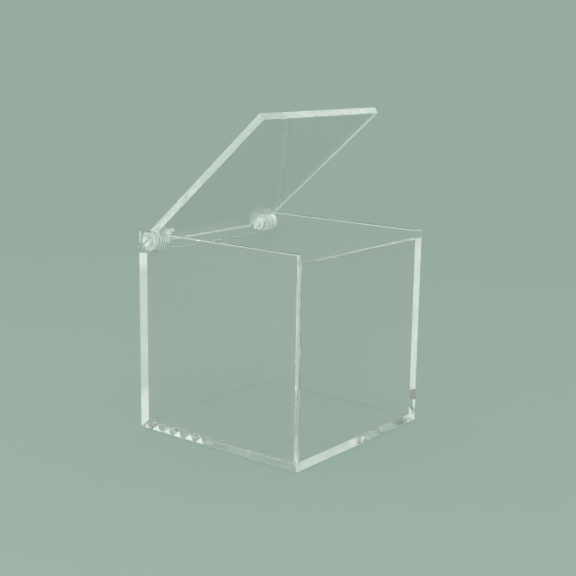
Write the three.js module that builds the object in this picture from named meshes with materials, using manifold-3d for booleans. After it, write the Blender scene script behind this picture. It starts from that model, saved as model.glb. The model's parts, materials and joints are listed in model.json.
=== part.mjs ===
import * as THREE from 'three';
import { ConvexGeometry } from 'three/addons/geometries/ConvexGeometry.js';
import { mergeVertices } from 'three/addons/utils/BufferGeometryUtils.js';
import Module from 'manifold-3d';

// A clear acrylic display case of mitred sheet, whose lid turns on two threaded pivots near the top of the
// side walls.
// Millimetres, Z up. The origin is the middle of the underside, X runs along the hinge, the front faces -Y.

// Case, outside sizes
const caseWidth = 108;
const caseDepth = 108;
const caseHeight = 108;

// Acrylic sheet
const baseThickness = 4;
const wallThickness = 4;
const lidThickness = 4;
const cementLine = 0.1;

// Lid
const lidFrontSetback = 2;
const lidSideGap = 1.2;
const lidRestGap = 0.3;
const lidOpenAngle = 41;

// Hinge axis, measured in from the back of the case and down from the top of the side walls
const hingeInset = 5.2;
const hingeDrop = 5.2;
const runningGap = 0.3;
const rearWallClearance = 1.2;

// Barrel cemented to each rear corner of the lid
const barrelRadius = 5.2;
const barrelLength = 5;
const saddleGap = 0.3;

// Pivot screw: a smooth slotted end that turns in the side wall, then a coarse moulded thread
const screwRadius = 2.6;
const threadDepth = 0.6;
const threadPitch = 1.8;
const threadClearance = 0.3;
const screwRecess = 0.2;
const screwTail = 0.9;
const slotWidth = 0.9;
const slotDepth = 1.2;

// Spacer washer, a thick ring between the side wall and the barrel
const washerRadius = 5.2;
const washerThickness = 3;

// Lock nut at the inner end of the screw, and the room round it in the lid
const nutAcrossFlats = 8;
const nutThickness = 3.4;
const nutRoom = 1.2;

// How far a cutting tool runs past the sheet that it cuts
const cutOverrun = 1;

// Fineness of the round surfaces
const roundSegments = 28;
const threadSegments = 16;
const threadRowsPerTurn = 5;

// Sizes that follow from the ones above
// Each mitred edge is held back along its panel, so that the two faces of a joint lie a cement line apart.
const mitreSetback = cementLine / Math.SQRT2;
const outerHalfWidth = caseWidth / 2 - mitreSetback;
const outerHalfDepth = caseDepth / 2 - mitreSetback;
const innerHalfWidth = outerHalfWidth - wallThickness;
const innerHalfDepth = outerHalfDepth - wallThickness;
const outerBottom = mitreSetback;
const innerBottom = baseThickness + mitreSetback;
const nutCornerRadius = nutAcrossFlats / Math.sqrt(3);
const hingeSweepRadius = Math.max(barrelRadius, nutCornerRadius, washerRadius);
const axisY = caseDepth / 2 - hingeInset;
const axisZ = caseHeight - hingeDrop;
const frontWallTop = caseHeight - lidThickness - lidRestGap;
const rearWallTop = axisZ - hingeSweepRadius - rearWallClearance;
const journalBoreRadius = screwRadius + runningGap;

// Places along a hinge, counted inwards from the outer face of its side wall
const washerStart = wallThickness + cementLine;
const barrelStart = washerStart + washerThickness + runningGap;
const barrelEnd = barrelStart + barrelLength;
const nutStart = barrelEnd + runningGap;
const nutEnd = nutStart + nutThickness;
const screwEnd = nutEnd + screwTail;
const notchEnd = screwEnd + nutRoom;

const wasm = await Module();
wasm.setup();

function solidFrom(geometry) {
  const bare = geometry.clone();
  bare.deleteAttribute('normal');
  bare.deleteAttribute('uv');
  const merged = mergeVertices(bare, 1e-4);
  const vertProperties = new Float32Array(merged.attributes.position.array);
  const triVerts = new Uint32Array(merged.index.array);
  return new wasm.Manifold(new wasm.Mesh({ numProp: 3, vertProperties, triVerts }));
}

function geometryFrom(solid) {
  const mesh = solid.getMesh();
  const geometry = new THREE.BufferGeometry();
  geometry.setAttribute('position', new THREE.BufferAttribute(mesh.vertProperties, 3));
  geometry.setIndex(new THREE.BufferAttribute(mesh.triVerts, 1));
  geometry.computeVertexNormals();
  return geometry;
}

function cut(geometry, ...tools) {
  let solid = solidFrom(geometry);
  for (const tool of tools) {
    solid = solid.subtract(solidFrom(tool));
  }
  return geometryFrom(solid);
}

// A box between two corners
function boxBetween(low, high) {
  const size = new THREE.Vector3().subVectors(high, low);
  const middle = new THREE.Vector3().addVectors(low, high).multiplyScalar(0.5);
  return new THREE.BoxGeometry(size.x, size.y, size.z).translate(middle.x, middle.y, middle.z);
}

// A round bar along X between two places
function barAlongX(radius, start, end) {
  const bar = new THREE.CylinderGeometry(radius, radius, end - start, roundSegments);
  return bar.rotateZ(-Math.PI / 2).translate((start + end) / 2, 0, 0);
}

// A rod along X, smooth up to threadStart and threaded from there on; margin swells it into a tapped hole
function threadedRod(start, threadStart, end, margin) {
  const threadRows = Math.ceil((end - threadStart) / threadPitch * threadRowsPerTurn);
  const rows = [start];
  for (let i = 0; i <= threadRows; i++) {
    rows.push(threadStart + (end - threadStart) * i / threadRows);
  }
  const points = [];
  for (const x of rows) {
    for (let j = 0; j < threadSegments; j++) {
      const angle = 2 * Math.PI * j / threadSegments;
      const turn = (x - threadStart) / threadPitch - j / threadSegments;
      const phase = turn - Math.floor(turn);
      const groove = threadDepth * Math.min(1, 2 - 4 * Math.abs(phase - 0.5));
      const inThread = x > threadStart;
      const radius = screwRadius + margin - (inThread ? Math.max(0, groove) : 0);
      points.push(x, radius * Math.cos(angle), radius * Math.sin(angle));
    }
  }
  const firstCentre = points.length / 3;
  points.push(start, 0, 0, end, 0, 0);
  const lastRow = (rows.length - 1) * threadSegments;
  const faces = [];
  for (let j = 0; j < threadSegments; j++) {
    const next = (j + 1) % threadSegments;
    for (let i = 0; i < rows.length - 1; i++) {
      const a = i * threadSegments + j;
      const b = i * threadSegments + next;
      faces.push(a, b, b + threadSegments, a, b + threadSegments, a + threadSegments);
    }
    faces.push(firstCentre, next, j);
    faces.push(firstCentre + 1, lastRow + j, lastRow + next);
  }
  const geometry = new THREE.BufferGeometry();
  geometry.setAttribute('position', new THREE.Float32BufferAttribute(points, 3));
  geometry.setIndex(faces);
  return geometry;
}

function clearAcrylic(colour, roughness) {
  return new THREE.MeshStandardMaterial({
    color: colour,
    roughness,
    metalness: 0,
    transparent: true,
    opacity: 0.3,
  });
}

function part(name, geometry, material) {
  const mesh = new THREE.Mesh(geometry, material);
  mesh.name = name;
  return mesh;
}

const sheetColour = 0xe4efe9;
const hingeColour = 0xeef3f0;

// A panel between the corners of its outer face and those of its inner face, which its mitred edges join
function mitredSheet(outerCorners, innerCorners) {
  return new ConvexGeometry([...outerCorners, ...innerCorners]);
}

// The four points that two pairs of places make, each turned into a corner
function cornersOf(firstPair, secondPair, toCorner) {
  return firstPair.flatMap((first) => secondPair.map((second) => toCorner(first, second)));
}

function makeBasePanel() {
  const faceAt = (z, halfWidth, halfDepth) => cornersOf(
    [-halfWidth, halfWidth],
    [-halfDepth, halfDepth],
    (x, y) => new THREE.Vector3(x, y, z),
  );
  const underside = faceAt(0, outerHalfWidth, outerHalfDepth);
  const top = faceAt(baseThickness, innerHalfWidth, innerHalfDepth);
  return part('base_panel', mitredSheet(underside, top), clearAcrylic(sheetColour, 0.08));
}

// Front wall (side -1) or rear wall (side 1), mitred to the base and to both side walls
function makeCrossWall(name, side, top) {
  const faceAt = (y, halfWidth, bottom) => cornersOf(
    [-halfWidth, halfWidth],
    [bottom, top],
    (x, z) => new THREE.Vector3(x, y, z),
  );
  const outer = faceAt(side * caseDepth / 2, outerHalfWidth, outerBottom);
  const inner = faceAt(side * (caseDepth / 2 - wallThickness), innerHalfWidth, innerBottom);
  return part(name, mitredSheet(outer, inner), clearAcrylic(sheetColour, 0.05));
}

// Left wall (side -1) or right wall (side 1). Its rear mitre stops at the top of the rear wall, so that the
// sheet round the pivot hole is whole up to the back of the case.
function makeSideWall(name, side) {
  const outerX = side * caseWidth / 2;
  const innerX = side * (caseWidth / 2 - wallThickness);
  const faceAt = (x, front, bottom) => cornersOf(
    [front, caseDepth / 2],
    [bottom, caseHeight],
    (y, z) => new THREE.Vector3(x, y, z),
  );
  const sheet = mitredSheet(
    faceAt(outerX, -outerHalfDepth, outerBottom),
    faceAt(innerX, -innerHalfDepth, innerBottom),
  );
  const pastOuter = new THREE.Vector2(outerX + side * cutOverrun, outerHalfDepth + cutOverrun);
  const pastInner = new THREE.Vector2(innerX - side * cutOverrun, innerHalfDepth - cutOverrun);
  const wedge = new THREE.Shape([pastOuter, new THREE.Vector2(pastInner.x, pastOuter.y), pastInner]);
  const rearMitre = new THREE.ExtrudeGeometry(wedge, {
    depth: cutOverrun + rearWallTop + cementLine,
    bevelEnabled: false,
  }).translate(0, 0, -cutOverrun);
  const drillEnds = [outerX + side * cutOverrun, innerX - side * cutOverrun].sort((a, b) => a - b);
  const pivotHole = barAlongX(journalBoreRadius, ...drillEnds).translate(0, axisY, axisZ);
  return part(name, cut(sheet, rearMitre, pivotHole), clearAcrylic(sheetColour, 0.05));
}

// The lid is drawn closed, about the hinge axis
function makeLidPanel() {
  const lidHalfWidth = caseWidth / 2 - wallThickness - lidSideGap;
  const front = -caseDepth / 2 + lidFrontSetback - axisY;
  const rear = hingeInset;
  const top = hingeDrop;
  const underside = hingeDrop - lidThickness;
  const plate = boxBetween(
    new THREE.Vector3(-lidHalfWidth, front, underside),
    new THREE.Vector3(lidHalfWidth, rear, top),
  );
  const notchFront = -(nutCornerRadius + nutRoom);
  const tools = [];
  for (const side of [-1, 1]) {
    const place = (distance) => side * (caseWidth / 2 - distance);
    const edge = place(wallThickness);
    const inner = place(notchEnd);
    const saddleInner = place(nutStart);
    // The saddle that fits round the barrel and clears the washer
    const saddleRange = [edge, saddleInner].sort((a, b) => a - b);
    tools.push(barAlongX(Math.max(barrelRadius, washerRadius) + saddleGap, ...saddleRange));
    // The corner behind the barrel's middle
    const cornerRange = [edge, inner].sort((a, b) => a - b);
    tools.push(boxBetween(
      new THREE.Vector3(cornerRange[0], 0, underside - lidThickness),
      new THREE.Vector3(cornerRange[1], rear + lidThickness, top + lidThickness),
    ));
    // Room round the nut
    const nutRange = [saddleInner, inner].sort((a, b) => a - b);
    tools.push(boxBetween(
      new THREE.Vector3(nutRange[0], notchFront, underside - lidThickness),
      new THREE.Vector3(nutRange[1], rear + lidThickness, top + lidThickness),
    ));
  }
  return part('lid_panel', cut(plate, ...tools), clearAcrylic(sheetColour, 0.05));
}

// The pieces of a hinge are drawn along X from the outer face of the left wall inwards, about the axis.
function makePivotScrew(name) {
  const rod = threadedRod(screwRecess, barrelStart, screwEnd, 0);
  const slot = boxBetween(
    new THREE.Vector3(screwRecess - slotDepth, -2 * screwRadius, -slotWidth / 2),
    new THREE.Vector3(screwRecess + slotDepth, 2 * screwRadius, slotWidth / 2),
  );
  return part(name, cut(rod, slot), clearAcrylic(hingeColour, 0.12));
}

function tappedHole() {
  return threadedRod(screwRecess, barrelStart, screwEnd + threadPitch, threadClearance);
}

function makeBarrel(name) {
  const body = barAlongX(barrelRadius, barrelStart, barrelEnd);
  return part(name, cut(body, tappedHole()), clearAcrylic(hingeColour, 0.06));
}

function makeLockNut(name) {
  const hexagon = new THREE.CylinderGeometry(nutCornerRadius, nutCornerRadius, nutThickness, 6);
  hexagon.rotateZ(-Math.PI / 2).translate((nutStart + nutEnd) / 2, 0, 0);
  return part(name, cut(hexagon, tappedHole()), clearAcrylic(hingeColour, 0.1));
}

function makeWasher(name) {
  const disc = barAlongX(washerRadius, washerStart, washerStart + washerThickness);
  const hole = barAlongX(journalBoreRadius, 0, barrelEnd);
  return part(name, cut(disc, hole), clearAcrylic(hingeColour, 0.2));
}

// Sets a hinge's pieces at the left or the right side wall
function atSide(side, ...meshes) {
  const group = new THREE.Group();
  group.position.x = side * caseWidth / 2;
  group.rotation.z = side > 0 ? Math.PI : 0;
  group.add(...meshes);
  return group;
}

const displayCase = new THREE.Group();
displayCase.add(
  makeBasePanel(),
  makeCrossWall('front_wall', -1, frontWallTop),
  makeCrossWall('rear_wall', 1, rearWallTop),
  makeSideWall('left_wall', -1),
  makeSideWall('right_wall', 1),
);

const washers = new THREE.Group();
washers.position.set(0, axisY, axisZ);
washers.add(
  atSide(-1, makeWasher('left_spacer_washer')),
  atSide(1, makeWasher('right_spacer_washer')),
);
displayCase.add(washers);

// The lid swings up about the axis, front edge first
const lid = new THREE.Group();
lid.position.set(0, axisY, axisZ);
lid.rotation.x = -THREE.MathUtils.degToRad(lidOpenAngle);
lid.add(makeLidPanel());
for (const [side, sideName] of [[-1, 'left'], [1, 'right']]) {
  lid.add(atSide(
    side,
    makeBarrel(`${sideName}_hinge_barrel`),
    makePivotScrew(`${sideName}_pivot_screw`),
    makeLockNut(`${sideName}_lock_nut`),
  ));
}
displayCase.add(lid);

export default displayCase;
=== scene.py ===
import json
import math

import bpy
from mathutils import Matrix, Vector


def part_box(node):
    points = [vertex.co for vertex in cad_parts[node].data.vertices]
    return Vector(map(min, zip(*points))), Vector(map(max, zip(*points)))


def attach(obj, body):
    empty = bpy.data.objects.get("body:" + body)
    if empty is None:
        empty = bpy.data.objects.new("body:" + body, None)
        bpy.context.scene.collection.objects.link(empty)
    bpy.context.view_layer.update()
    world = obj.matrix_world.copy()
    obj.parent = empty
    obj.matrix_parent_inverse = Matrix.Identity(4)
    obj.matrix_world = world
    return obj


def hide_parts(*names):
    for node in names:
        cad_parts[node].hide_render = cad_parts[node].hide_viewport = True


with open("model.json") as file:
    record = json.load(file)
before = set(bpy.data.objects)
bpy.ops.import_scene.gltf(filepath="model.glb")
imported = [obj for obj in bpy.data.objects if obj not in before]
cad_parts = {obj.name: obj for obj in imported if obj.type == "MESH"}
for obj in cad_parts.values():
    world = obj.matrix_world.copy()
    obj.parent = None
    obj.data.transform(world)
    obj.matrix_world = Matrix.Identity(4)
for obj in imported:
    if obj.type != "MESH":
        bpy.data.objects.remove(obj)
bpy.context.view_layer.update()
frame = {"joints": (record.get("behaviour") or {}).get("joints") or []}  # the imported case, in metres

mm = 0.001
hinge = frame["joints"][0]
hingeCentre = Vector(hinge["pos_m"])
openAngle = math.radians(-hinge["range_deg"][0])  # how far the lid stands open at rest
wallLow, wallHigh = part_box("left_wall")
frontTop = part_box("front_wall")[1].z
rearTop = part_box("rear_wall")[1].z
print("frame loaded, lid open by", round(math.degrees(openAngle), 1), "degrees")


# small habits shared by all the pieces

def deselectAll():
    if bpy.context.object and bpy.context.object.mode != "OBJECT":
        bpy.ops.object.mode_set(mode="OBJECT")
    bpy.ops.object.select_all(action="DESELECT")


def pickOnly(piece):
    deselectAll()
    piece.select_set(True)
    bpy.context.view_layer.objects.active = piece


def settle(piece):  # moves the object's place, turn and scale into its mesh
    pickOnly(piece)
    bpy.ops.object.transform_apply(location=True, rotation=True, scale=True)


def rename(piece, name):
    piece.name = name
    piece.data.name = name
    return piece


def near(a, b, reach=0.02 * mm):
    return abs(a - b) < reach


def addSlab(name, low, high):
    deselectAll()
    bpy.ops.mesh.primitive_cube_add(size=1, location=(low + high) / 2)
    slab = rename(bpy.context.object, name)
    slab.scale = high - low
    settle(slab)
    return slab


def addBar(name, radius, start, end, sides):  # a round bar along the hinge, from one place in x to another
    deselectAll()
    middle = Vector(((start + end) / 2, hingeCentre.y, hingeCentre.z))
    bpy.ops.mesh.primitive_cylinder_add(
        vertices=sides, radius=radius, depth=end - start, location=middle, rotation=(0, math.pi / 2, 0))
    bar = rename(bpy.context.object, name)
    settle(bar)
    return bar


def editNothing(piece, selectBy):  # edit mode with nothing selected
    pickOnly(piece)
    bpy.ops.object.mode_set(mode="EDIT")
    bpy.ops.mesh.select_mode(type=selectBy)
    bpy.ops.mesh.select_all(action="DESELECT")


def selectEdges(piece, wanted):
    editNothing(piece, "EDGE")
    bpy.ops.object.mode_set(mode="OBJECT")
    points = piece.data.vertices
    for edge in piece.data.edges:
        edge.select = wanted(points[edge.vertices[0]].co, points[edge.vertices[1]].co)
    bpy.ops.object.mode_set(mode="EDIT")


def bevelEdges(piece, width, steps, wanted):
    selectEdges(piece, wanted)
    bpy.ops.mesh.bevel(offset=width, segments=steps, profile=0.5, affect="EDGES")
    bpy.ops.object.mode_set(mode="OBJECT")


def slidePoints(piece, shift, wanted):
    editNothing(piece, "VERT")
    bpy.ops.object.mode_set(mode="OBJECT")
    for point in piece.data.vertices:
        point.select = wanted(point.co)
    bpy.ops.object.mode_set(mode="EDIT")
    bpy.ops.transform.translate(value=shift)
    bpy.ops.object.mode_set(mode="OBJECT")


def saw(piece, place, outward, takeAway=True):  # saws along a plane, and takes away what lies beyond it
    pickOnly(piece)
    bpy.ops.object.mode_set(mode="EDIT")
    bpy.ops.mesh.select_all(action="SELECT")
    bpy.ops.mesh.bisect(plane_co=place, plane_no=outward, use_fill=takeAway, clear_outer=takeAway)
    bpy.ops.object.mode_set(mode="OBJECT")


def cutWith(piece, cutter, how="DIFFERENCE"):
    pickOnly(piece)
    step = piece.modifiers.new("cut", "BOOLEAN")
    step.operation = how
    step.solver = "EXACT"
    step.object = cutter
    bpy.ops.object.modifier_apply(modifier=step.name)
    bpy.data.objects.remove(cutter, do_unlink=True)


def paint(piece, mainMaterial, *others):  # others are pairs of a material and a test on a face
    piece.data.materials.clear()
    piece.data.materials.append(mainMaterial)
    for material, _ in others:
        piece.data.materials.append(material)
    for face in piece.data.polygons:
        for place, (_, wanted) in enumerate(others, start=1):
            if wanted(face):
                face.material_index = place


def smooth(piece, angle=35):
    pickOnly(piece)
    bpy.ops.object.shade_smooth_by_angle(angle=math.radians(angle))


def toAxis(point):  # how far a point lies from the hinge's axis
    return (point - hingeCentre).yz.length


def fromHinge(face):
    return toAxis(face.center)


# camera at the photograph's angle

shot = dict(place=(-0.46935, -0.37287, 0.20235), turn=-51.86, rise=11.85, roll=0.85, lens=70.8, sensor=36)


def makeCamera():
    deselectAll()
    bpy.ops.object.camera_add(location=shot["place"])
    camera = bpy.context.object
    camera.rotation_euler = (math.radians(90 - shot["rise"]), 0, math.radians(shot["turn"]))
    camera.rotation_euler.rotate_axis("Z", math.radians(shot["roll"]))
    camera.data.lens = shot["lens"]
    camera.data.sensor_width = shot["sensor"]
    bpy.context.scene.camera = camera


makeCamera()
print("camera set")


# nodes that the materials share

def newMaterial(name):
    material = bpy.data.materials.new(name)
    material.use_nodes = True
    material.node_tree.nodes.clear()
    return material, material.node_tree.nodes, material.node_tree.links


def addNoise(nodes, links, vector, scale, detail, rough=0.5):
    noise = nodes.new("ShaderNodeTexNoise")
    noise.inputs["Scale"].default_value = scale
    noise.inputs["Detail"].default_value = detail
    noise.inputs["Roughness"].default_value = rough
    links.new(vector, noise.inputs["Vector"])
    return noise.outputs["Fac"]


def addRange(nodes, links, source, fromLow, fromHigh, toLow=0.0, toHigh=1.0, soft=False):
    step = nodes.new("ShaderNodeMapRange")
    step.interpolation_type = "SMOOTHSTEP" if soft else "LINEAR"
    step.inputs["From Min"].default_value = fromLow
    step.inputs["From Max"].default_value = fromHigh
    step.inputs["To Min"].default_value = toLow
    step.inputs["To Max"].default_value = toHigh
    links.new(source, step.inputs["Value"])
    return step.outputs["Result"]


def addMath(nodes, links, how, first, second=None, value=0.0):
    step = nodes.new("ShaderNodeMath")
    step.operation = how
    links.new(first, step.inputs[0])
    if second is not None:
        links.new(second, step.inputs[1])
    else:
        step.inputs[1].default_value = value
    return step.outputs["Value"]


def addTint(nodes, links, source, low, high):
    ramp = nodes.new("ShaderNodeValToRGB")
    ramp.color_ramp.elements[0].color = (*low, 1)
    ramp.color_ramp.elements[1].color = (*high, 1)
    links.new(source, ramp.inputs["Fac"])
    return ramp.outputs["Color"]


def addStretch(nodes, links, vector, scale, turn=(0, 0, 0)):
    mapping = nodes.new("ShaderNodeMapping")
    mapping.inputs["Scale"].default_value = scale
    mapping.inputs["Rotation"].default_value = turn
    links.new(vector, mapping.inputs["Vector"])
    return mapping.outputs["Vector"]


def addBump(nodes, links, height, strength, distance):
    bump = nodes.new("ShaderNodeBump")
    bump.inputs["Strength"].default_value = strength
    bump.inputs["Distance"].default_value = distance
    links.new(height, bump.inputs["Height"])
    return bump.outputs["Normal"]


def addThrough(nodes, shade):
    through = nodes.new("ShaderNodeBsdfTransparent")
    through.inputs["Color"].default_value = (*shade, 1)
    return through.outputs["BSDF"]


def addMixShader(nodes, links, share, first, second):
    mix = nodes.new("ShaderNodeMixShader")
    links.new(share, mix.inputs["Fac"])
    links.new(first, mix.inputs[1])
    links.new(second, mix.inputs[2])
    return mix.outputs["Shader"]


def addAcrylic(nodes):
    acrylic = nodes.new("ShaderNodeBsdfPrincipled")
    acrylic.inputs["IOR"].default_value = 1.49
    return acrylic


def tintAcrylic(nodes, links, acrylic, source, look):
    tint = addTint(nodes, links, source, look["dark"], look["light"])
    links.new(tint, acrylic.inputs["Base Color"])


# lets lamps and bounced light through to what is behind
def closeClear(material, nodes, links, surface, shade):
    path = nodes.new("ShaderNodeLightPath")
    lamps = addMath(nodes, links, "MAXIMUM", path.outputs["Is Shadow Ray"], path.outputs["Is Diffuse Ray"])
    output = nodes.new("ShaderNodeOutputMaterial")
    shown = addMixShader(nodes, links, lamps, surface, addThrough(nodes, shade))
    links.new(shown, output.inputs["Surface"])
    return material


# materials

midNoise = (0.35, 0.65)  # where most of a noise's values lie
wideNoise = (0.3, 0.7)
sheetLook = dict(dark=(0.91, 0.915, 0.912), light=(0.935, 0.94, 0.937), shade=(0.965, 0.975, 0.97),
                 smudge=34, smudgeFrom=0.45, smudgeTo=0.75, smoothest=0.004, dullest=0.035, haze=12,
                 hairline=(40, 700, 700), hairlineTurn=(0.3, 0.2, 0.5),
                 scratch=0.003 * mm, scratchShare=0.02)


def makeSheetFace(name, clearest, haziest):  # polished faces with faint smudges and hairline scratches
    material, nodes, links = newMaterial(name)
    place = nodes.new("ShaderNodeTexCoord").outputs["Object"]
    acrylic = addAcrylic(nodes)
    smudge = addNoise(nodes, links, place, sheetLook["smudge"], detail=5, rough=0.6)
    tintAcrylic(nodes, links, acrylic, smudge, sheetLook)
    dull = addRange(nodes, links, smudge, sheetLook["smudgeFrom"], sheetLook["smudgeTo"],
                    sheetLook["smoothest"], sheetLook["dullest"])
    links.new(dull, acrylic.inputs["Roughness"])
    haze = addNoise(nodes, links, place, sheetLook["haze"], detail=3)
    clear = addRange(nodes, links, haze, *wideNoise, clearest, haziest)
    links.new(clear, acrylic.inputs["Transmission Weight"])
    drawnOut = addStretch(nodes, links, place, sheetLook["hairline"], sheetLook["hairlineTurn"])
    hairline = addNoise(nodes, links, drawnOut, scale=1, detail=2)
    bump = addBump(nodes, links, hairline, sheetLook["scratchShare"], sheetLook["scratch"])
    links.new(bump, acrylic.inputs["Normal"])
    return closeClear(material, nodes, links, acrylic.outputs["BSDF"], sheetLook["shade"])


edgeLook = dict(dark=(0.90, 0.96, 0.93), light=(0.97, 0.995, 0.985), shade=(0.8, 0.84, 0.82), cloud=14,
                smoothest=0.008, dullest=0.025, clearShare=0.6, scratch=0.03 * mm, scratchShare=0.004)


def makeCutEdge(name, milk, grain, turn=(0, 0, 0)):  # machined edges, with fine lines across the thickness
    material, nodes, links = newMaterial(name)
    place = nodes.new("ShaderNodeTexCoord").outputs["Object"]
    acrylic = addAcrylic(nodes)
    lines = addNoise(nodes, links, addStretch(nodes, links, place, grain, turn), scale=1, detail=2)
    cloud = addNoise(nodes, links, place, edgeLook["cloud"], detail=3)
    tintAcrylic(nodes, links, acrylic, cloud, edgeLook)
    dull = addRange(nodes, links, lines, *wideNoise, edgeLook["smoothest"], edgeLook["dullest"])
    links.new(dull, acrylic.inputs["Roughness"])
    clear = addRange(nodes, links, cloud, *midNoise, 1 - edgeLook["clearShare"] * milk, 1 - milk)
    links.new(clear, acrylic.inputs["Transmission Weight"])
    bump = addBump(nodes, links, lines, edgeLook["scratchShare"], edgeLook["scratch"])
    links.new(bump, acrylic.inputs["Normal"])
    return closeClear(material, nodes, links, acrylic.outputs["BSDF"], edgeLook["shade"])


jointLook = dict(dark=(0.94, 0.975, 0.955), light=(0.99, 1.0, 0.995), shade=(0.95, 0.96, 0.955),
                 wet=(0.994, 0.999, 0.997), cloud=60, patch=105, drift=14, driftShare=0.5, patchEdge=0.012,
                 smoothest=0.008, dullest=0.03, clearShare=0.8, reachSoft=3 * mm,
                 thinFrom=19 * mm, thinTo=90 * mm, thinSoft=5 * mm, thickShare=0.1,
                 bayHalf=4 * mm, bayWander=3 * mm, bayRise=3.9 * mm, bayGap=0.2, bayEdge=0.04,
                 baySoft=1 * mm)


def addStretchOf(nodes, links, part, start, end, soft):  # 1 between two places along an axis
    rising = addRange(nodes, links, part, start - soft, start + soft, soft=True)
    falling = addRange(nodes, links, part, end - soft, end + soft, 1, 0, soft=True)
    return addMath(nodes, links, "MULTIPLY", rising, falling)


# a mitre mirrors and is milky where it holds air, and is clear where cement wets it
def startJoint(name, milk, whiteEnds=False):
    material, nodes, links = newMaterial(name)
    place = nodes.new("ShaderNodeTexCoord").outputs["Object"]
    along = nodes.new("ShaderNodeSeparateXYZ")
    links.new(place, along.inputs["Vector"])
    acrylic = addAcrylic(nodes)
    cloud = addNoise(nodes, links, place, jointLook["cloud"], detail=2)
    tintAcrylic(nodes, links, acrylic, cloud, jointLook)
    dull = addRange(nodes, links, cloud, *midNoise, jointLook["smoothest"], jointLook["dullest"])
    links.new(dull, acrylic.inputs["Roughness"])
    clear = addRange(nodes, links, cloud, *midNoise, 1 - jointLook["clearShare"] * milk, 1 - milk)
    if whiteEnds:  # milkier near the base and the top than between them
        thin = addStretchOf(nodes, links, along.outputs["Z"], jointLook["thinFrom"], jointLook["thinTo"],
                            jointLook["thinSoft"])
        thin = addRange(nodes, links, thin, 0, 1, jointLook["thickShare"], 1)
        clear = addMath(nodes, links, "MULTIPLY", clear, thin)
    links.new(clear, acrylic.inputs["Transmission Weight"])
    return material, nodes, links, place, along.outputs, acrylic.outputs["BSDF"]


def closeJoint(material, nodes, links, dry, wet):
    surface = addMixShader(nodes, links, wet, dry, addThrough(nodes, jointLook["wet"]))
    return closeClear(material, nodes, links, surface, jointLook["shade"])


# cement wets it in patches where a noise is over wetFrom, and film is how clear the rest is
def makeJoint(name, milk, wetFrom, film=0.0, reach=None, whiteEnds=False):
    material, nodes, links, place, along, dry = startJoint(name, milk, whiteEnds)
    patch = addNoise(nodes, links, place, jointLook["patch"], detail=1.5)
    drift = addNoise(nodes, links, place, jointLook["drift"], detail=1)
    drift = addMath(nodes, links, "MULTIPLY", drift, value=jointLook["driftShare"])
    cement = addMath(nodes, links, "ADD", patch, drift)
    wet = addRange(nodes, links, cement, wetFrom, wetFrom + jointLook["patchEdge"], film, 1, soft=True)
    if reach:  # wet only between two places along an axis
        axis, start, end = reach
        inReach = addStretchOf(nodes, links, along[axis], start, end, jointLook["reachSoft"])
        wet = addMath(nodes, links, "MULTIPLY", wet, inReach)
        wet = addMath(nodes, links, "MAXIMUM", wet, value=film)
    return closeJoint(material, nodes, links, dry, wet)


def makeBayJoint(name, milk, reach):  # clear, but for a row of dry bays that narrow upwards
    material, nodes, links, place, along, dry = startJoint(name, milk)
    wander = addNoise(nodes, links, place, jointLook["patch"], detail=1)
    wander = addMath(nodes, links, "MULTIPLY", wander, value=jointLook["bayWander"])
    travel = addMath(nodes, links, "ADD", along["Y"], wander)
    tooth = addMath(nodes, links, "PINGPONG", travel, value=jointLook["bayHalf"])
    tooth = addMath(nodes, links, "DIVIDE", tooth, value=jointLook["bayHalf"])
    rise = addMath(nodes, links, "DIVIDE", along["Z"], value=jointLook["bayRise"])
    spare = addMath(nodes, links, "SUBTRACT", tooth, rise)
    gap = jointLook["bayGap"]
    bay = addRange(nodes, links, spare, gap, gap + jointLook["bayEdge"], soft=True)
    inReach = addStretchOf(nodes, links, along["Y"], reach[0], reach[1], jointLook["baySoft"])
    bay = addMath(nodes, links, "MULTIPLY", bay, inReach)
    wet = addRange(nodes, links, bay, 0, 1, 1, 0)
    return closeJoint(material, nodes, links, dry, wet)


hingeLook = dict(dark=(0.93, 0.96, 0.945), light=(0.99, 0.997, 0.994), shade=(0.88, 0.9, 0.89),
                 lathe=(2600, 30, 30), spots=240, scratch=0.02 * mm, scratchShare=0.03)


def makeTurned(name, cloudy, roughest):  # turned or moulded hinge pieces, with lathe lines round the axis
    material, nodes, links = newMaterial(name)
    place = nodes.new("ShaderNodeTexCoord").outputs["Object"]
    acrylic = addAcrylic(nodes)
    lathe = addNoise(nodes, links, addStretch(nodes, links, place, hingeLook["lathe"]), scale=1, detail=2)
    spots = addNoise(nodes, links, place, hingeLook["spots"], detail=3)
    tintAcrylic(nodes, links, acrylic, spots, hingeLook)
    dull = addRange(nodes, links, lathe, *wideNoise, roughest / 4, roughest)
    links.new(dull, acrylic.inputs["Roughness"])
    clear = addRange(nodes, links, spots, *wideNoise, 1 - cloudy / 2, 1 - cloudy)
    links.new(clear, acrylic.inputs["Transmission Weight"])
    bump = addBump(nodes, links, lathe, hingeLook["scratchShare"], hingeLook["scratch"])
    links.new(bump, acrylic.inputs["Normal"])
    return closeClear(material, nodes, links, acrylic.outputs["BSDF"], hingeLook["shade"])


milkyLook = dict(dark=(0.90, 0.95, 0.925), light=(0.985, 1.0, 0.993), shade=(0.75, 0.78, 0.765))
# painted shade: the roots of the threads and outer grooves get a darker colour for the shade in them
rootShadeLook = dict(dark=(0.52, 0.60, 0.56), light=(0.74, 0.81, 0.775), shade=(0.75, 0.78, 0.765))
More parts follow.
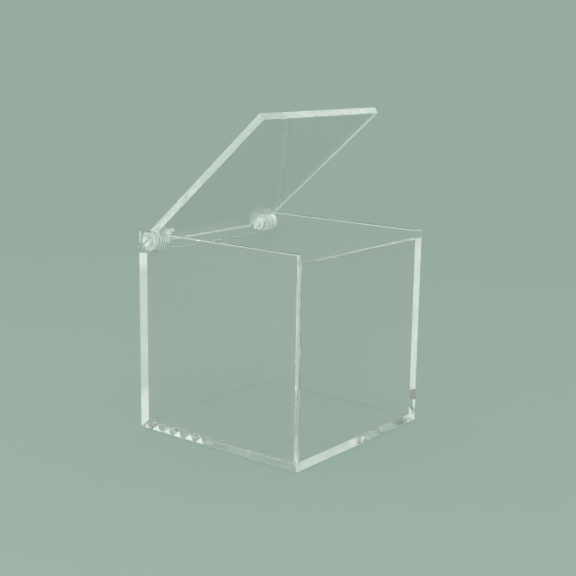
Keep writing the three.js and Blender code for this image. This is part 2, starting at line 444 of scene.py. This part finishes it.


# scraped arrises, sawn ends and thread flanks, and thread roots darkened with painted shade
def makeMilky(name, look, clearest, milkiest, scale, roughest):
    material, nodes, links = newMaterial(name)
    place = nodes.new("ShaderNodeTexCoord").outputs["Object"]
    acrylic = addAcrylic(nodes)
    grain = addNoise(nodes, links, place, scale, detail=3, rough=0.6)
    tintAcrylic(nodes, links, acrylic, grain, look)
    clear = addRange(nodes, links, grain, *midNoise, clearest, milkiest)
    links.new(clear, acrylic.inputs["Transmission Weight"])
    dull = addRange(nodes, links, grain, *midNoise, roughest / 2, roughest)
    links.new(dull, acrylic.inputs["Roughness"])
    return closeClear(material, nodes, links, acrylic.outputs["BSDF"], look["shade"])


polishedSheet = makeSheetFace("polishedSheet", clearest=0.972, haziest=0.952)
lidSheet = makeSheetFace("lidSheet", clearest=0.995, haziest=0.988)
lidTurn = (openAngle, 0, 0)
edgeAcrossX = makeCutEdge("cutEdgeAcrossX", milk=0.06, grain=(60, 1500, 1500))
edgeAcrossY = makeCutEdge("cutEdgeAcrossY", milk=0.14, grain=(1500, 60, 1500))
edgeOfLid = makeCutEdge("cutEdgeOfLid", milk=0.32, grain=(500, 500, 60), turn=lidTurn)
sawnGlintEdgeOfLid = makeCutEdge("sawnGlintEdgeOfLid", milk=0.7, grain=(500, 500, 60), turn=lidTurn)  # less polished, and whitened as a painted glint by the hinge notch
leftDryJoint = makeJoint("leftDryJoint", milk=0.45, wetFrom=1.2, whiteEnds=True)
rightDryJoint = makeJoint("rightDryJoint", milk=0.9, wetFrom=0.74, reach=("Z", 4 * mm, 19 * mm))
wettedJoint = makeJoint("wettedJoint", milk=0.15, wetFrom=1.2, film=0.72)
leftBaseJoint = makeBayJoint("leftBaseJoint", milk=0.6, reach=(9 * mm, 50 * mm))
frontBaseJoint = makeJoint("frontBaseJoint", milk=0.4, wetFrom=0.69, film=0.1, reach=("X", -2 * mm, 48 * mm))
backBaseJoint = makeJoint("backBaseJoint", milk=0.3, wetFrom=0.68, film=0.2)
scrapedArris = makeMilky("scrapedArris", milkyLook, clearest=0.6, milkiest=0.4, scale=40, roughest=0.15)
sawnEnd = makeMilky("sawnEnd", milkyLook, clearest=0.35, milkiest=0.12, scale=420, roughest=0.3)
threadFlank = makeMilky("threadFlank", milkyLook, clearest=0.3, milkiest=0.12, scale=300, roughest=0.2)
grooveFlank = makeMilky("grooveFlank", milkyLook, clearest=0.3, milkiest=0.1, scale=200, roughest=0.2)
# painted shade in the roots of the threads and outer grooves
shadedThreadRoot = makeMilky("shadedThreadRoot", rootShadeLook, clearest=0.97, milkiest=0.9, scale=300, roughest=0.06)
turnedBarrel = makeTurned("turnedBarrel", cloudy=0.02, roughest=0.012)
mouldedScrew = makeTurned("mouldedScrew", cloudy=0.06, roughest=0.04)
mouldedNut = makeTurned("mouldedNut", cloudy=0.7, roughest=0.06)
clearNut = makeTurned("clearNut", cloudy=0.1, roughest=0.03)
frostedWasher = makeTurned("frostedWasher", cloudy=0.5, roughest=0.2)
whiteWasher = makeTurned("whiteWasher", cloudy=0.9, roughest=0.2)
print("materials made")


# panels of the case, mitred where they meet

panel = dict(arris=0.36 * mm, arrisSteps=2, cement=0.1 * mm, ledge=0.05 * mm, topBand=1 * mm,
             mitreShare=math.sqrt(0.5), mitreSlack=0.01, leaning=0.5, squareShare=0.97, faceShare=0.9)
pivot = dict(hole=2.9 * mm, sides=64, plain=16 * mm)


def isMitre(face):
    return near(max(abs(part) for part in face.normal), panel["mitreShare"], panel["mitreSlack"])


def isBaseMitre(face):
    return isMitre(face) and abs(face.normal.z) > panel["leaning"]


def isUprightMitre(face):
    return isMitre(face) and abs(face.normal.z) < panel["leaning"] and face.center.z < frontTop


# the near and far corners took the cement well, and the other two hold air
joints = (
    (wettedJoint, lambda f: isUprightMitre(f) and f.center.x * f.center.y > 0),
    (leftDryJoint, lambda f: isUprightMitre(f) and f.center.x < 0 < f.center.y),
    (rightDryJoint, lambda f: isUprightMitre(f) and f.center.y < 0 < f.center.x),
    (backBaseJoint, isBaseMitre),
    (frontBaseJoint, lambda f: isBaseMitre(f) and f.center.y < -abs(f.center.x)),
    (leftBaseJoint, lambda f: isBaseMitre(f) and f.center.x < -abs(f.center.y)))


def isArris(face):  # a face of an eased edge, square to none of the panel's directions
    return max(abs(part) for part in face.normal) < panel["squareShare"] and not isMitre(face)


def bothAt(axis, place):  # an edge that lies at one place along an axis
    return lambda a, b: near(a[axis], place) and near(b[axis], place)


def makeBase():
    low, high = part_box("base_panel")
    base = addSlab("basePanel", low, high)
    for side in (-1, 1):
        saw(base, (side * high.x, 0, low.z), (side, 0, 1))
        saw(base, (0, side * high.y, low.z), (0, side, 1))
    bevelEdges(base, panel["arris"], panel["arrisSteps"], bothAt(2, low.z))
    paint(base, polishedSheet, *joints, (scrapedArris, isArris))
    return base


def makeSideWall(node, name):
    low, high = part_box(node)
    side = 1 if low.x > 0 else -1
    outer, inner = (high.x, low.x) if side > 0 else (low.x, high.x)
    thickness = high.x - low.x
    wall = addSlab(name, low, high)
    # behind, the mitre ends in a ledge at the rear wall's top, and the sheet round the pivot stays whole
    ledge = rearTop + panel["cement"]
    for height in (frontTop, ledge, ledge + panel["ledge"]):
        saw(wall, (0, 0, height), (0, 0, 1), takeAway=False)
    below = lambda p: near(p.x, inner) and near(p.y, high.y) and p.z < ledge + panel["ledge"] / 2
    slidePoints(wall, (0, -thickness, 0), below)
    saw(wall, (outer, low.y, 0), (-side, -1, 0))
    saw(wall, (outer, 0, low.z), (-side, 0, -1))
    saw(wall, (0, 0, frontTop), (0, 0, 1), takeAway=False)  # the mitre stands free above the front wall
    saw(wall, (0, hingeCentre.y - pivot["plain"], 0), (0, 1, 0), takeAway=False)
    outside, top, bottom = bothAt(0, outer), bothAt(2, high.z), bothAt(2, low.z)
    front, rear = bothAt(1, low.y), bothAt(1, high.y)
    eased = lambda a, b: top(a, b) or outside(a, b) and (front(a, b) or rear(a, b) or bottom(a, b))
    bevelEdges(wall, panel["arris"], panel["arrisSteps"], eased)
    cutWith(wall, addBar("pivotHole", pivot["hole"], low.x - thickness, high.x + thickness, pivot["sides"]))
    # no scraped look in the pivot hole, nor on the left wall's top by the pivot
    plain = pivot["plain"] if side < 0 else 2 * pivot["hole"]
    paint(wall, polishedSheet,
          (edgeAcrossX, lambda f: abs(f.normal.x) < panel["faceShare"]),
          *joints,
          (scrapedArris, lambda f: isArris(f) and fromHinge(f) > plain))
    return wall


def makeCrossWall(node, name):
    low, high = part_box(node)
    side = 1 if low.y > 0 else -1
    outer = high.y if side > 0 else low.y
    wall = addSlab(name, low, high)
    for end in (-1, 1):
        saw(wall, (end * high.x, outer, 0), (end, -side, 0))
    saw(wall, (0, outer, low.z), (0, -side, -1))
    outside, top = bothAt(1, outer), bothAt(2, high.z)
    bevelEdges(wall, panel["arris"], panel["arrisSteps"],
               lambda a, b: outside(a, b) or top(a, b) and near(a.y, b.y))
    paint(wall, polishedSheet,
          (edgeAcrossY, lambda f: f.normal.z > panel["faceShare"]),
          *joints,
          (scrapedArris, lambda f: isArris(f) and f.center.z < high.z - panel["topBand"]))
    return wall


# hinge sizes, with places along it counted in from the outer face of the left wall

screwSizes = dict(radius=2.6 * mm, depth=0.6 * mm, pitch=1.8 * mm, clearance=0.3 * mm, rings=110, sides=64,
                  slotWidth=0.9 * mm, slotDepth=1.2 * mm)
barrelSizes = dict(radius=5.2 * mm, chamfer=0.45 * mm, sides=96, rings=60, groove=0.55 * mm)
nutSizes = dict(acrossFlats=8 * mm, chamfer=0.5 * mm, sides=6, turningSides=64, smoothAngle=25)
washerSizes = dict(radius=5.2 * mm, round=0.35 * mm, roundSteps=2, overrun=1 * mm, endShare=0.5)


def reachOf(node):
    low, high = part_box(node)
    return low.x - wallLow.x, high.x - wallLow.x


barrelStart, barrelEnd = reachOf("left_hinge_barrel")
nutStart, nutEnd = reachOf("left_lock_nut")
screwStart, screwEnd = reachOf("left_pivot_screw")
washerStart, washerEnd = reachOf("left_spacer_washer")


# lid, modelled closed about the hinge and then turned to where it stands open

lidSizes = dict(thickness=4 * mm, setback=2 * mm, sideGap=1.2 * mm, saddle=5.5 * mm, nutRoom=1.2 * mm,
                arris=0.3 * mm, arrisSteps=2, longEdge=20 * mm, overrun=5 * mm)


def turnOpen(piece):
    back = Matrix.Translation(-hingeCentre)
    turn = Matrix.Rotation(-openAngle, 4, "X")
    piece.matrix_world = Matrix.Translation(hingeCentre) @ turn @ back @ piece.matrix_world
    settle(piece)


def cutRoom(lid, ends, front):  # takes the lid's rear corner away behind a place in y
    low = Vector((ends[0], front, wallHigh.z - lidSizes["thickness"] - lidSizes["overrun"]))
    high = Vector((ends[1], wallHigh.y + lidSizes["overrun"], wallHigh.z + lidSizes["overrun"]))
    cutWith(lid, addSlab("room", low, high))


def makeLid():
    halfWidth = -wallHigh.x - lidSizes["sideGap"]
    low = Vector((-halfWidth, wallLow.y + lidSizes["setback"], wallHigh.z - lidSizes["thickness"]))
    high = Vector((halfWidth, wallHigh.y, wallHigh.z))
    lid = addSlab("lidPanel", low, high)
    wallInner = wallHigh.x - wallLow.x
    notchEnd = screwEnd + lidSizes["nutRoom"]
    nutFront = hingeCentre.y - nutSizes["acrossFlats"] / math.sqrt(3) - lidSizes["nutRoom"]
    for side in (-1, 1):
        between = lambda start, end: sorted((side * (-wallLow.x - start), side * (-wallLow.x - end)))
        saddle = addBar("saddle", lidSizes["saddle"], *between(wallInner, nutStart), barrelSizes["sides"])
        cutWith(lid, saddle)
        cutRoom(lid, between(wallInner, notchEnd), hingeCentre.y)
        cutRoom(lid, between(nutStart, notchEnd), nutFront)
    flat = lambda a, b: near(a.z, b.z) and (near(a.z, high.z) or near(a.z, low.z))
    isLong = lambda a, b: flat(a, b) and (b - a).length > lidSizes["longEdge"]
    bevelEdges(lid, lidSizes["arris"], lidSizes["arrisSteps"], isLong)
    eased = lambda f: isArris(f) and min(high.z - f.center.z, f.center.z - low.z) < lidSizes["arris"]
    # sawn faces, frosted and whitened as a painted glint by the hinge notch
    isSawnGlintFace = lambda f: abs(f.normal.x) > panel["faceShare"] and not near(f.center.x, -halfWidth)
    paint(lid, lidSheet,
          (edgeOfLid, lambda f: abs(f.normal.z) < panel["faceShare"]),
          (sawnGlintEdgeOfLid, isSawnGlintFace),
          (scrapedArris, eased))
    turnOpen(lid)
    return lid


# hinge pieces, modelled at the left wall and copied to the right

# how deep a thread's groove is at a point, with travel counted from the barrel's start
def grooveAt(offset, travel, depth):
    turns = travel / screwSizes["pitch"] - math.atan2(offset.z, offset.y) / (2 * math.pi)
    phase = turns - math.floor(turns)
    return depth * max(0.0, min(1.0, 2 - 4 * abs(phase - 0.5)))


def ringBar(bar, count):  # rings along a bar, close enough together to carry a thread
    selectEdges(bar, lambda a, b: not near(a.x, b.x))
    bpy.ops.mesh.subdivide(number_cuts=count)
    bpy.ops.object.mode_set(mode="OBJECT")


def setRadius(point, radius):
    offset = point.co - hingeCentre
    grow = radius / toAxis(point.co)
    point.co.y = hingeCentre.y + offset.y * grow
    point.co.z = hingeCentre.z + offset.z * grow


def threadRod(name, start, end, swell):
    rod = addBar(name, screwSizes["radius"], wallLow.x + start, wallLow.x + end, screwSizes["sides"])
    ringBar(rod, screwSizes["rings"])
    for point in rod.data.vertices:
        travel = point.co.x - wallLow.x - barrelStart
        groove = grooveAt(point.co - hingeCentre, travel, screwSizes["depth"]) if travel > 0 else 0.0
        setRadius(point, screwSizes["radius"] + swell - groove)
    return rod


threadFaces = dict(slope=0.35, flankWithin=3.2 * mm, rootWithin=2.4 * mm,
                   grooveSlope=0.3, endSlope=0.95, skinBeyond=4 * mm, rootShare=0.8)


def isFlank(face):  # the slanting sides of a thread, inside the barrel's skin
    return abs(face.normal.x) > threadFaces["slope"] and fromHinge(face) < threadFaces["flankWithin"]


def isRoot(face):  # the bottom of a thread's groove
    return abs(face.normal.x) < threadFaces["slope"] and fromHinge(face) < threadFaces["rootWithin"]


def isGrooveFlank(face):  # the slanting sides of the grooves outside a barrel
    slants = threadFaces["grooveSlope"] < abs(face.normal.x) < threadFaces["endSlope"]
    return slants and fromHinge(face) > threadFaces["skinBeyond"]


def isGrooveRoot(face):
    level = abs(face.normal.x) < threadFaces["grooveSlope"]
    bottom = barrelSizes["radius"] - threadFaces["rootShare"] * barrelSizes["groove"]
    return level and threadFaces["skinBeyond"] < fromHinge(face) < bottom


def isEnd(face):
    return abs(face.normal.x) > threadFaces["endSlope"]


def tapHole(piece):
    cutWith(piece, threadRod("tap", screwStart, screwEnd + screwSizes["pitch"], screwSizes["clearance"]))


def makeScrew():
    screw = threadRod("leftPivotScrew", screwStart, screwEnd, 0)
    end = wallLow.x + screwStart
    reach = 2 * screwSizes["radius"]
    slotHalf = screwSizes["slotWidth"] / 2
    slotLow = Vector((end - screwSizes["slotDepth"], hingeCentre.y - reach, hingeCentre.z - slotHalf))
    slotHigh = Vector((end + screwSizes["slotDepth"], hingeCentre.y + reach, hingeCentre.z + slotHalf))
    cutWith(screw, addSlab("slot", slotLow, slotHigh))
    paint(screw, mouldedScrew, (threadFlank, isFlank), (shadedThreadRoot, isRoot))
    smooth(screw)
    return screw


def makeBarrel():
    start, end = wallLow.x + barrelStart, wallLow.x + barrelEnd
    barrel = addBar("leftHingeBarrel", barrelSizes["radius"], start, end, barrelSizes["sides"])
    ringBar(barrel, barrelSizes["rings"])
    for point in barrel.data.vertices:  # fine grooves round the outside, and a chamfer at both ends
        groove = grooveAt(point.co - hingeCentre, point.co.x - start, barrelSizes["groove"])
        fromEnd = min(point.co.x - start, end - point.co.x)
        setRadius(point, barrelSizes["radius"] - max(groove, barrelSizes["chamfer"] - fromEnd))
    tapHole(barrel)
    # the roots of the thread and the outer grooves take the painted shade
    paint(barrel, turnedBarrel, (sawnEnd, isEnd),
          (grooveFlank, isGrooveFlank), (threadFlank, isFlank),
          (shadedThreadRoot, lambda f: isRoot(f) or isGrooveRoot(f)))
    smooth(barrel)
    return barrel


def makeNut():
    start, end = wallLow.x + nutStart, wallLow.x + nutEnd
    corner = nutSizes["acrossFlats"] / math.sqrt(3)
    nut = addBar("leftLockNut", corner, start, end, nutSizes["sides"])
    turning = addBar("nutTurning", corner, start, end, nutSizes["turningSides"])
    bevelEdges(turning, nutSizes["chamfer"], 1, lambda a, b: near(a.x, b.x))
    cutWith(nut, turning, "INTERSECT")
    tapHole(nut)
    paint(nut, mouldedNut, (turnedBarrel, isEnd), (threadFlank, isFlank), (shadedThreadRoot, isRoot))
    smooth(nut, nutSizes["smoothAngle"])
    return nut


def makeWasher():
    start, end = wallLow.x + washerStart, wallLow.x + washerEnd
    washer = addBar("leftSpacerWasher", washerSizes["radius"], start, end, barrelSizes["sides"])
    overrun = washerSizes["overrun"]
    cutWith(washer, addBar("washerHole", pivot["hole"], start - overrun, end + overrun, pivot["sides"]))
    isRing = lambda a, b: near(a.x, b.x) and near(toAxis(a), toAxis(b))
    bevelEdges(washer, washerSizes["round"], washerSizes["roundSteps"], isRing)
    paint(washer, frostedWasher, (sawnEnd, lambda f: abs(f.normal.x) > washerSizes["endShare"]))
    smooth(washer)
    return washer


def copyToRight(piece, name):
    twin = piece.copy()
    twin.data = piece.data.copy()
    bpy.context.scene.collection.objects.link(twin)
    rename(twin, name)
    turn = Matrix.Rotation(math.pi, 4, "Z")
    twin.matrix_world = Matrix.Translation(hingeCentre) @ turn @ Matrix.Translation(-hingeCentre)
    settle(twin)
    return twin


# put together

def fit(piece, body, node):
    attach(piece, body)
    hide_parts(node)


fit(makeBase(), "case", "base_panel")
fit(makeSideWall("left_wall", "leftWall"), "case", "left_wall")
fit(makeSideWall("right_wall", "rightWall"), "case", "right_wall")
fit(makeCrossWall("front_wall", "frontWall"), "case", "front_wall")
fit(makeCrossWall("rear_wall", "rearWall"), "case", "rear_wall")
print("case panels made")

fit(makeLid(), "lid", "lid_panel")
print("lid made")

# the right nut gets a clearer material than the left one, and the right washer a whiter one
for make, rightName, rightMaterial, node, slot, body in (
        (makeScrew, "rightPivotScrew", mouldedScrew, "pivot_screw", "clear_screw", "lid"),
        (makeBarrel, "rightHingeBarrel", turnedBarrel, "hinge_barrel", "clear_hinge", "lid"),
        (makeNut, "rightLockNut", clearNut, "lock_nut", "clear_hinge", "lid"),
        (makeWasher, "rightSpacerWasher", whiteWasher, "spacer_washer", "frosted_washer", "case")):
    leftPiece = make()
    rightPiece = copyToRight(leftPiece, rightName)
    rightPiece.data.materials[0] = rightMaterial
    for sideName, piece in (("left", leftPiece), ("right", rightPiece)):
        if body == "lid":
            turnOpen(piece)
        fit(piece, body, sideName + "_" + node)
print("hinges made")


# stage and light

stageLook = dict(reach=12.0, sides=96, drop=0.2 * mm, paper=(0.315, 0.41, 0.36), fadeFrom=0.45, fadeTo=1.2,
                 dull=0.9, gloss=0.2)


colourSockets = dict(first=6, second=7, result=2)  # a mix node's sockets for colours


def addMix(nodes, links, share, first, second):  # second may be a colour or the output of another mix
    mix = nodes.new("ShaderNodeMix")
    mix.data_type = "RGBA"
    links.new(share, mix.inputs[0])
    mix.inputs[colourSockets["first"]].default_value = (*first, 1)
    if isinstance(second, tuple):
        mix.inputs[colourSockets["second"]].default_value = (*second, 1)
    else:
        links.new(second, mix.inputs[colourSockets["second"]])
    return mix.outputs[colourSockets["result"]]


def makeStage():  # one plain paper floor that fades into the air
    deselectAll()
    bpy.ops.mesh.primitive_circle_add(
        vertices=stageLook["sides"], radius=stageLook["reach"], fill_type="NGON",
        location=(0, 0, -stageLook["drop"]))
    floor = rename(bpy.context.object, "studioFloor")
    settle(floor)
    material, nodes, links = newMaterial("studioPaper")
    paper = nodes.new("ShaderNodeBsdfPrincipled")
    paper.inputs["Roughness"].default_value = stageLook["dull"]
    paper.inputs["Specular IOR Level"].default_value = stageLook["gloss"]
    paper.inputs["Base Color"].default_value = (*stageLook["paper"], 1)
    far = nodes.new("ShaderNodeEmission")
    far.inputs["Color"].default_value = (*stageLook["paper"], 1)
    distance = nodes.new("ShaderNodeVectorMath")
    distance.operation = "LENGTH"
    links.new(nodes.new("ShaderNodeTexCoord").outputs["Object"], distance.inputs[0])
    away = distance.outputs["Value"]
    fade = addRange(nodes, links, away, stageLook["fadeFrom"], stageLook["fadeTo"], soft=True)
    surface = addMixShader(nodes, links, fade, paper.outputs["BSDF"], far.outputs["Emission"])
    output = nodes.new("ShaderNodeOutputMaterial")
    links.new(surface, output.inputs["Surface"])
    floor.data.materials.append(material)


overheadBox = dict(place=(0.1, 0.3, 1.6), aim=(0, 0, 0.05), size=(1.4, 1.2), power=1)
keyBox = dict(place=(-1.2, -0.5, 0.9), aim=(0, 0, 0.06), size=(1.4, 1.5), power=9)


def addSoftbox(name, box):  # lights the case but never shows in it
    deselectAll()
    bpy.ops.object.light_add(type="AREA", location=box["place"])
    lamp = rename(bpy.context.object, name)
    heading = Vector(box["aim"]) - Vector(box["place"])
    lamp.rotation_euler = heading.to_track_quat("-Z", "Y").to_euler()
    lamp.data.shape = "RECTANGLE"
    lamp.data.size, lamp.data.size_y = box["size"]
    lamp.data.energy = box["power"]
    lamp.visible_camera = False
    lamp.visible_glossy = False
    lamp.visible_transmission = False


airLook = dict(pale=(0.84, 0.865, 0.85), white=(1, 1, 1), overheadFrom=0.4, overheadTo=0.9)


def makeLight():  # pale air lights the case: it shows as paper, turning white overhead
    world = bpy.data.worlds.new("studioAir")
    world.use_nodes = True
    bpy.context.scene.world = world
    nodes, links = world.node_tree.nodes, world.node_tree.links
    path = nodes.new("ShaderNodeLightPath").outputs
    through = addMath(nodes, links, "MAXIMUM", path["Is Glossy Ray"], path["Is Transmission Ray"])
    seen = addMath(nodes, links, "MAXIMUM", path["Is Camera Ray"], through)
    heading = nodes.new("ShaderNodeSeparateXYZ")
    links.new(nodes.new("ShaderNodeTexCoord").outputs["Generated"], heading.inputs["Vector"])
    overhead = addRange(
        nodes, links, heading.outputs["Z"], airLook["overheadFrom"], airLook["overheadTo"], soft=True)
    shown = addMix(nodes, links, overhead, stageLook["paper"], airLook["white"])
    colour = addMix(nodes, links, seen, airLook["pale"], shown)
    links.new(colour, nodes["Background"].inputs["Color"])
    addSoftbox("overheadBox", overheadBox)
    addSoftbox("keyBox", keyBox)


makeStage()
makeLight()
scene = bpy.context.scene
scene.view_settings.view_transform = "Standard"
bounces = dict(inside=72, through=32)  # light runs a long way inside the sheets
scene.cycles.max_bounces = bounces["inside"]
scene.cycles.transmission_bounces = bounces["inside"]
scene.cycles.glossy_bounces = bounces["inside"]
scene.cycles.transparent_max_bounces = bounces["through"]
scene.cycles.caustics_reflective = False
scene.cycles.caustics_refractive = False
print("stage and light set")

bpy.context.view_layer.update()
